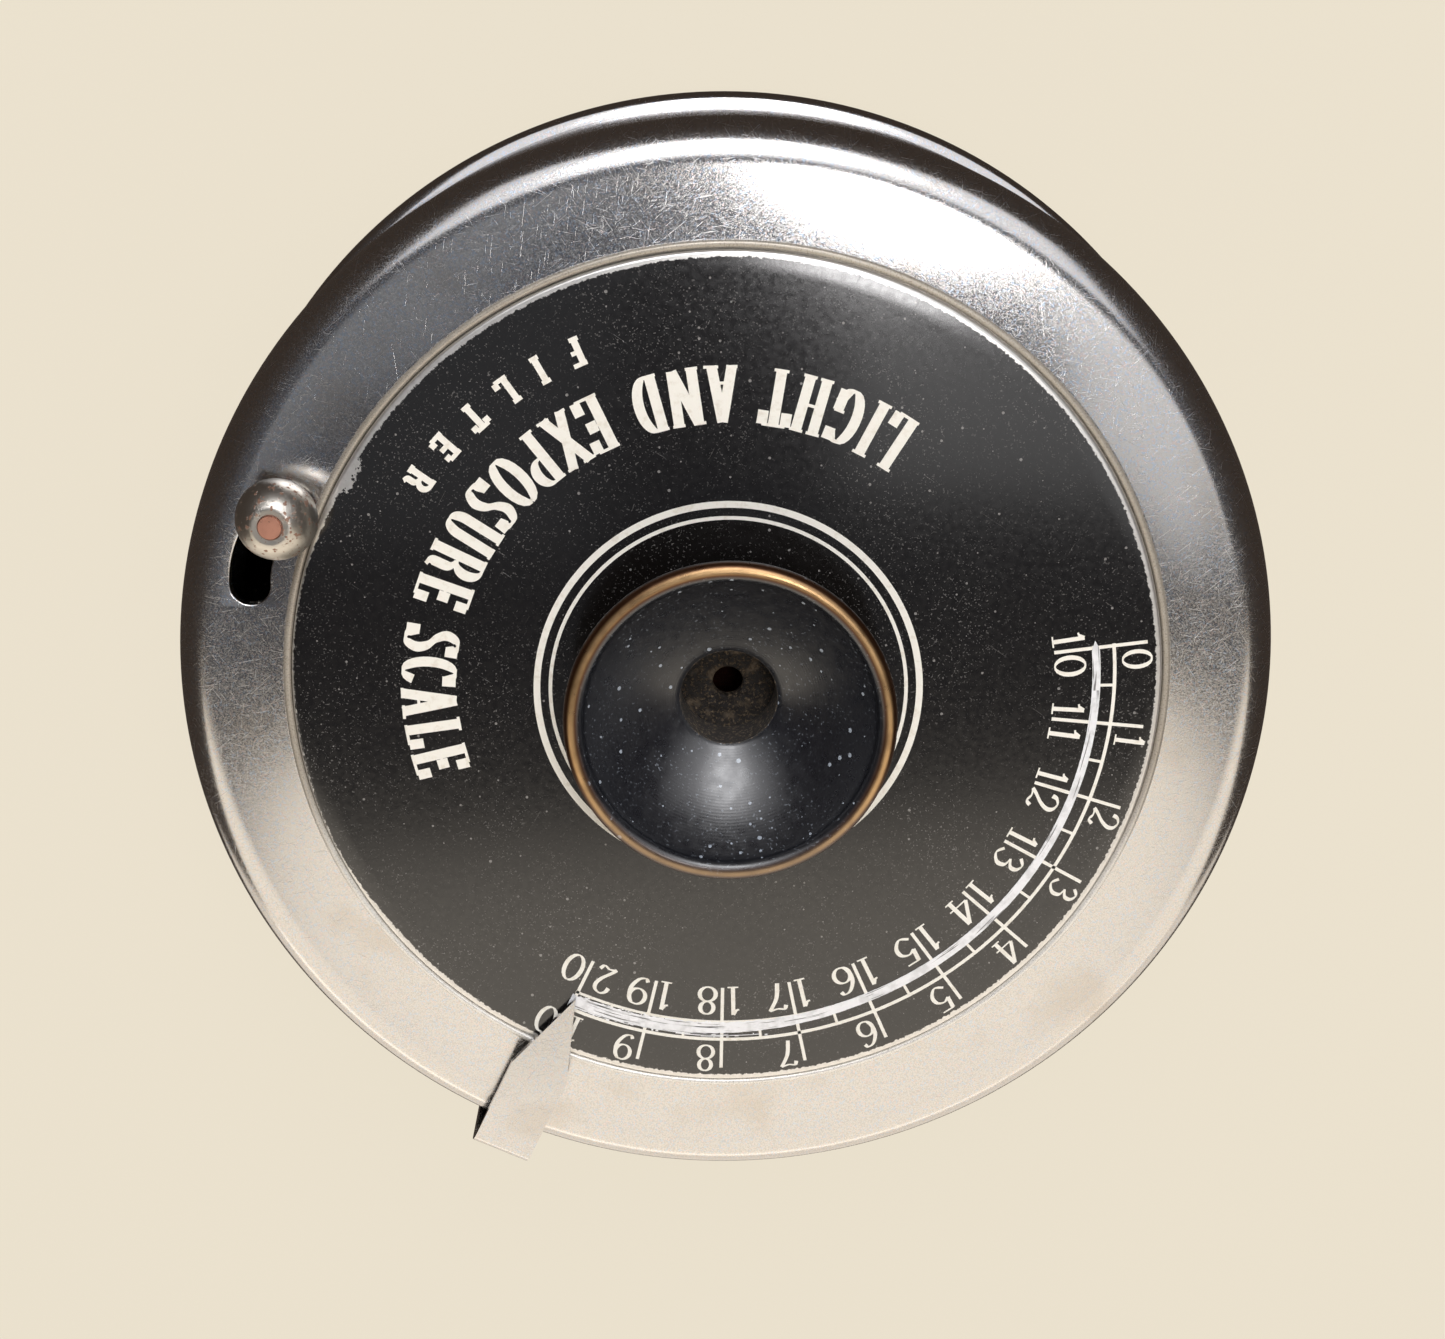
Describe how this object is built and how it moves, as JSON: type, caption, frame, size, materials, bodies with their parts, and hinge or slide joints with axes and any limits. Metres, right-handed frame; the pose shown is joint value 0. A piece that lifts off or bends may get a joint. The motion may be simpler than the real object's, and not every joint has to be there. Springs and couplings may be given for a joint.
{
  "type": "pocket exposure photometer",
  "caption": "Round nickel pocket photometer with an eyepiece, a printed dial with swinging pointer, a range knob and a circular exposure calculator on its back.",
  "frame": {"origin": "centre of the flat rear rim that the instrument rests on", "axes": "+Z out of the dial towards the eyepiece, +Y towards the top of the dial with its figures upright, +X to the right of the dial"},
  "size_m": [0.078, 0.078, 0.029],
  "materials": {
    "nickel": "polished nickel plate with fine handling scratches",
    "worn_nickel": "worn nickel with brown rust freckles",
    "black_enamel": "satin black enamel with cream printing",
    "ivory_enamel": "cream enamel with black printing",
    "lacquered_brass": "glossy blue-black lacquer worn to brass at the rim",
    "browned_brass": "dull browned brass",
    "brass": "turned brass",
    "steel": "plain steel",
    "copper_rivet": "coppery rivet",
    "blue_glass": "cobalt blue filter glass",
    "smoked_glass": "neutral grey filter glass",
    "clear_glass": "clear window glass"
  },
  "bodies": {
    "case": {"front_cover": "nickel", "dial_plate": "black_enamel", "eyepiece_cup": "lacquered_brass", "peephole_disc": "browned_brass", "eyepiece_nut": "brass", "bridge_plate": "brass", "hub_tube": "brass", "hub_nut": "brass", "pillars": "brass", "cover_screws": "steel", "pillar_screws": "steel", "guide_rails": "brass", "rail_screws": "steel", "barrel_bridge": "brass", "light_barrel": "browned_brass", "blue_filter": "blue_glass", "filter_ring": "brass", "lever_stud": "steel", "stud_clip": "steel"},
    "range_lever": {"lever_arm": "steel", "friction_washer": "steel", "filter_holder": "browned_brass", "range_filter": "smoked_glass", "knob_stem": "copper_rivet", "ball_knob": "worn_nickel"},
    "rotor": {"rear_ring": "nickel", "pointer": "nickel", "pointer_rivets": "nickel", "back_plate": "black_enamel", "cam_posts": "brass", "cam_screws": "steel", "cam_plate": "brass", "hub_bush": "brass", "window_bezel": "nickel", "window_glass": "clear_glass", "glass_ring": "brass"},
    "wedge_slide": {"slide_carrier": "browned_brass", "wedge_glass": "smoked_glass", "follower_pin": "steel"},
    "calculator": {"calculator_disc": "ivory_enamel", "disc_grips": "nickel"}
  },
  "joints": [
    {"name": "back_turn", "type": "hinge", "parent": "case", "child": "rotor", "pos_m": [0, 0, 0.004], "axis": [0, 0, 1], "range_deg": [-1, 123]},
    {"name": "range_swing", "type": "hinge", "parent": "case", "child": "range_lever", "pos_m": [0.02575, -0.00743, 0.0165], "axis": [0, 0, 1], "range_deg": [0, 50.9]},
    {"name": "wedge_travel", "type": "slide", "parent": "case", "child": "wedge_slide", "axis": [1, 0, 0], "range_m": [-0.0003, 0.0123]},
    {"name": "calculator_spin", "type": "hinge", "parent": "rotor", "child": "calculator", "pos_m": [0, 0, 0.0013], "axis": [0, 0, 1], "continuous": true}
  ],
  "couplings": [
    {"joint": "wedge_travel", "follows": "back_turn", "m_per_rad": 0.0056218}
  ]
}
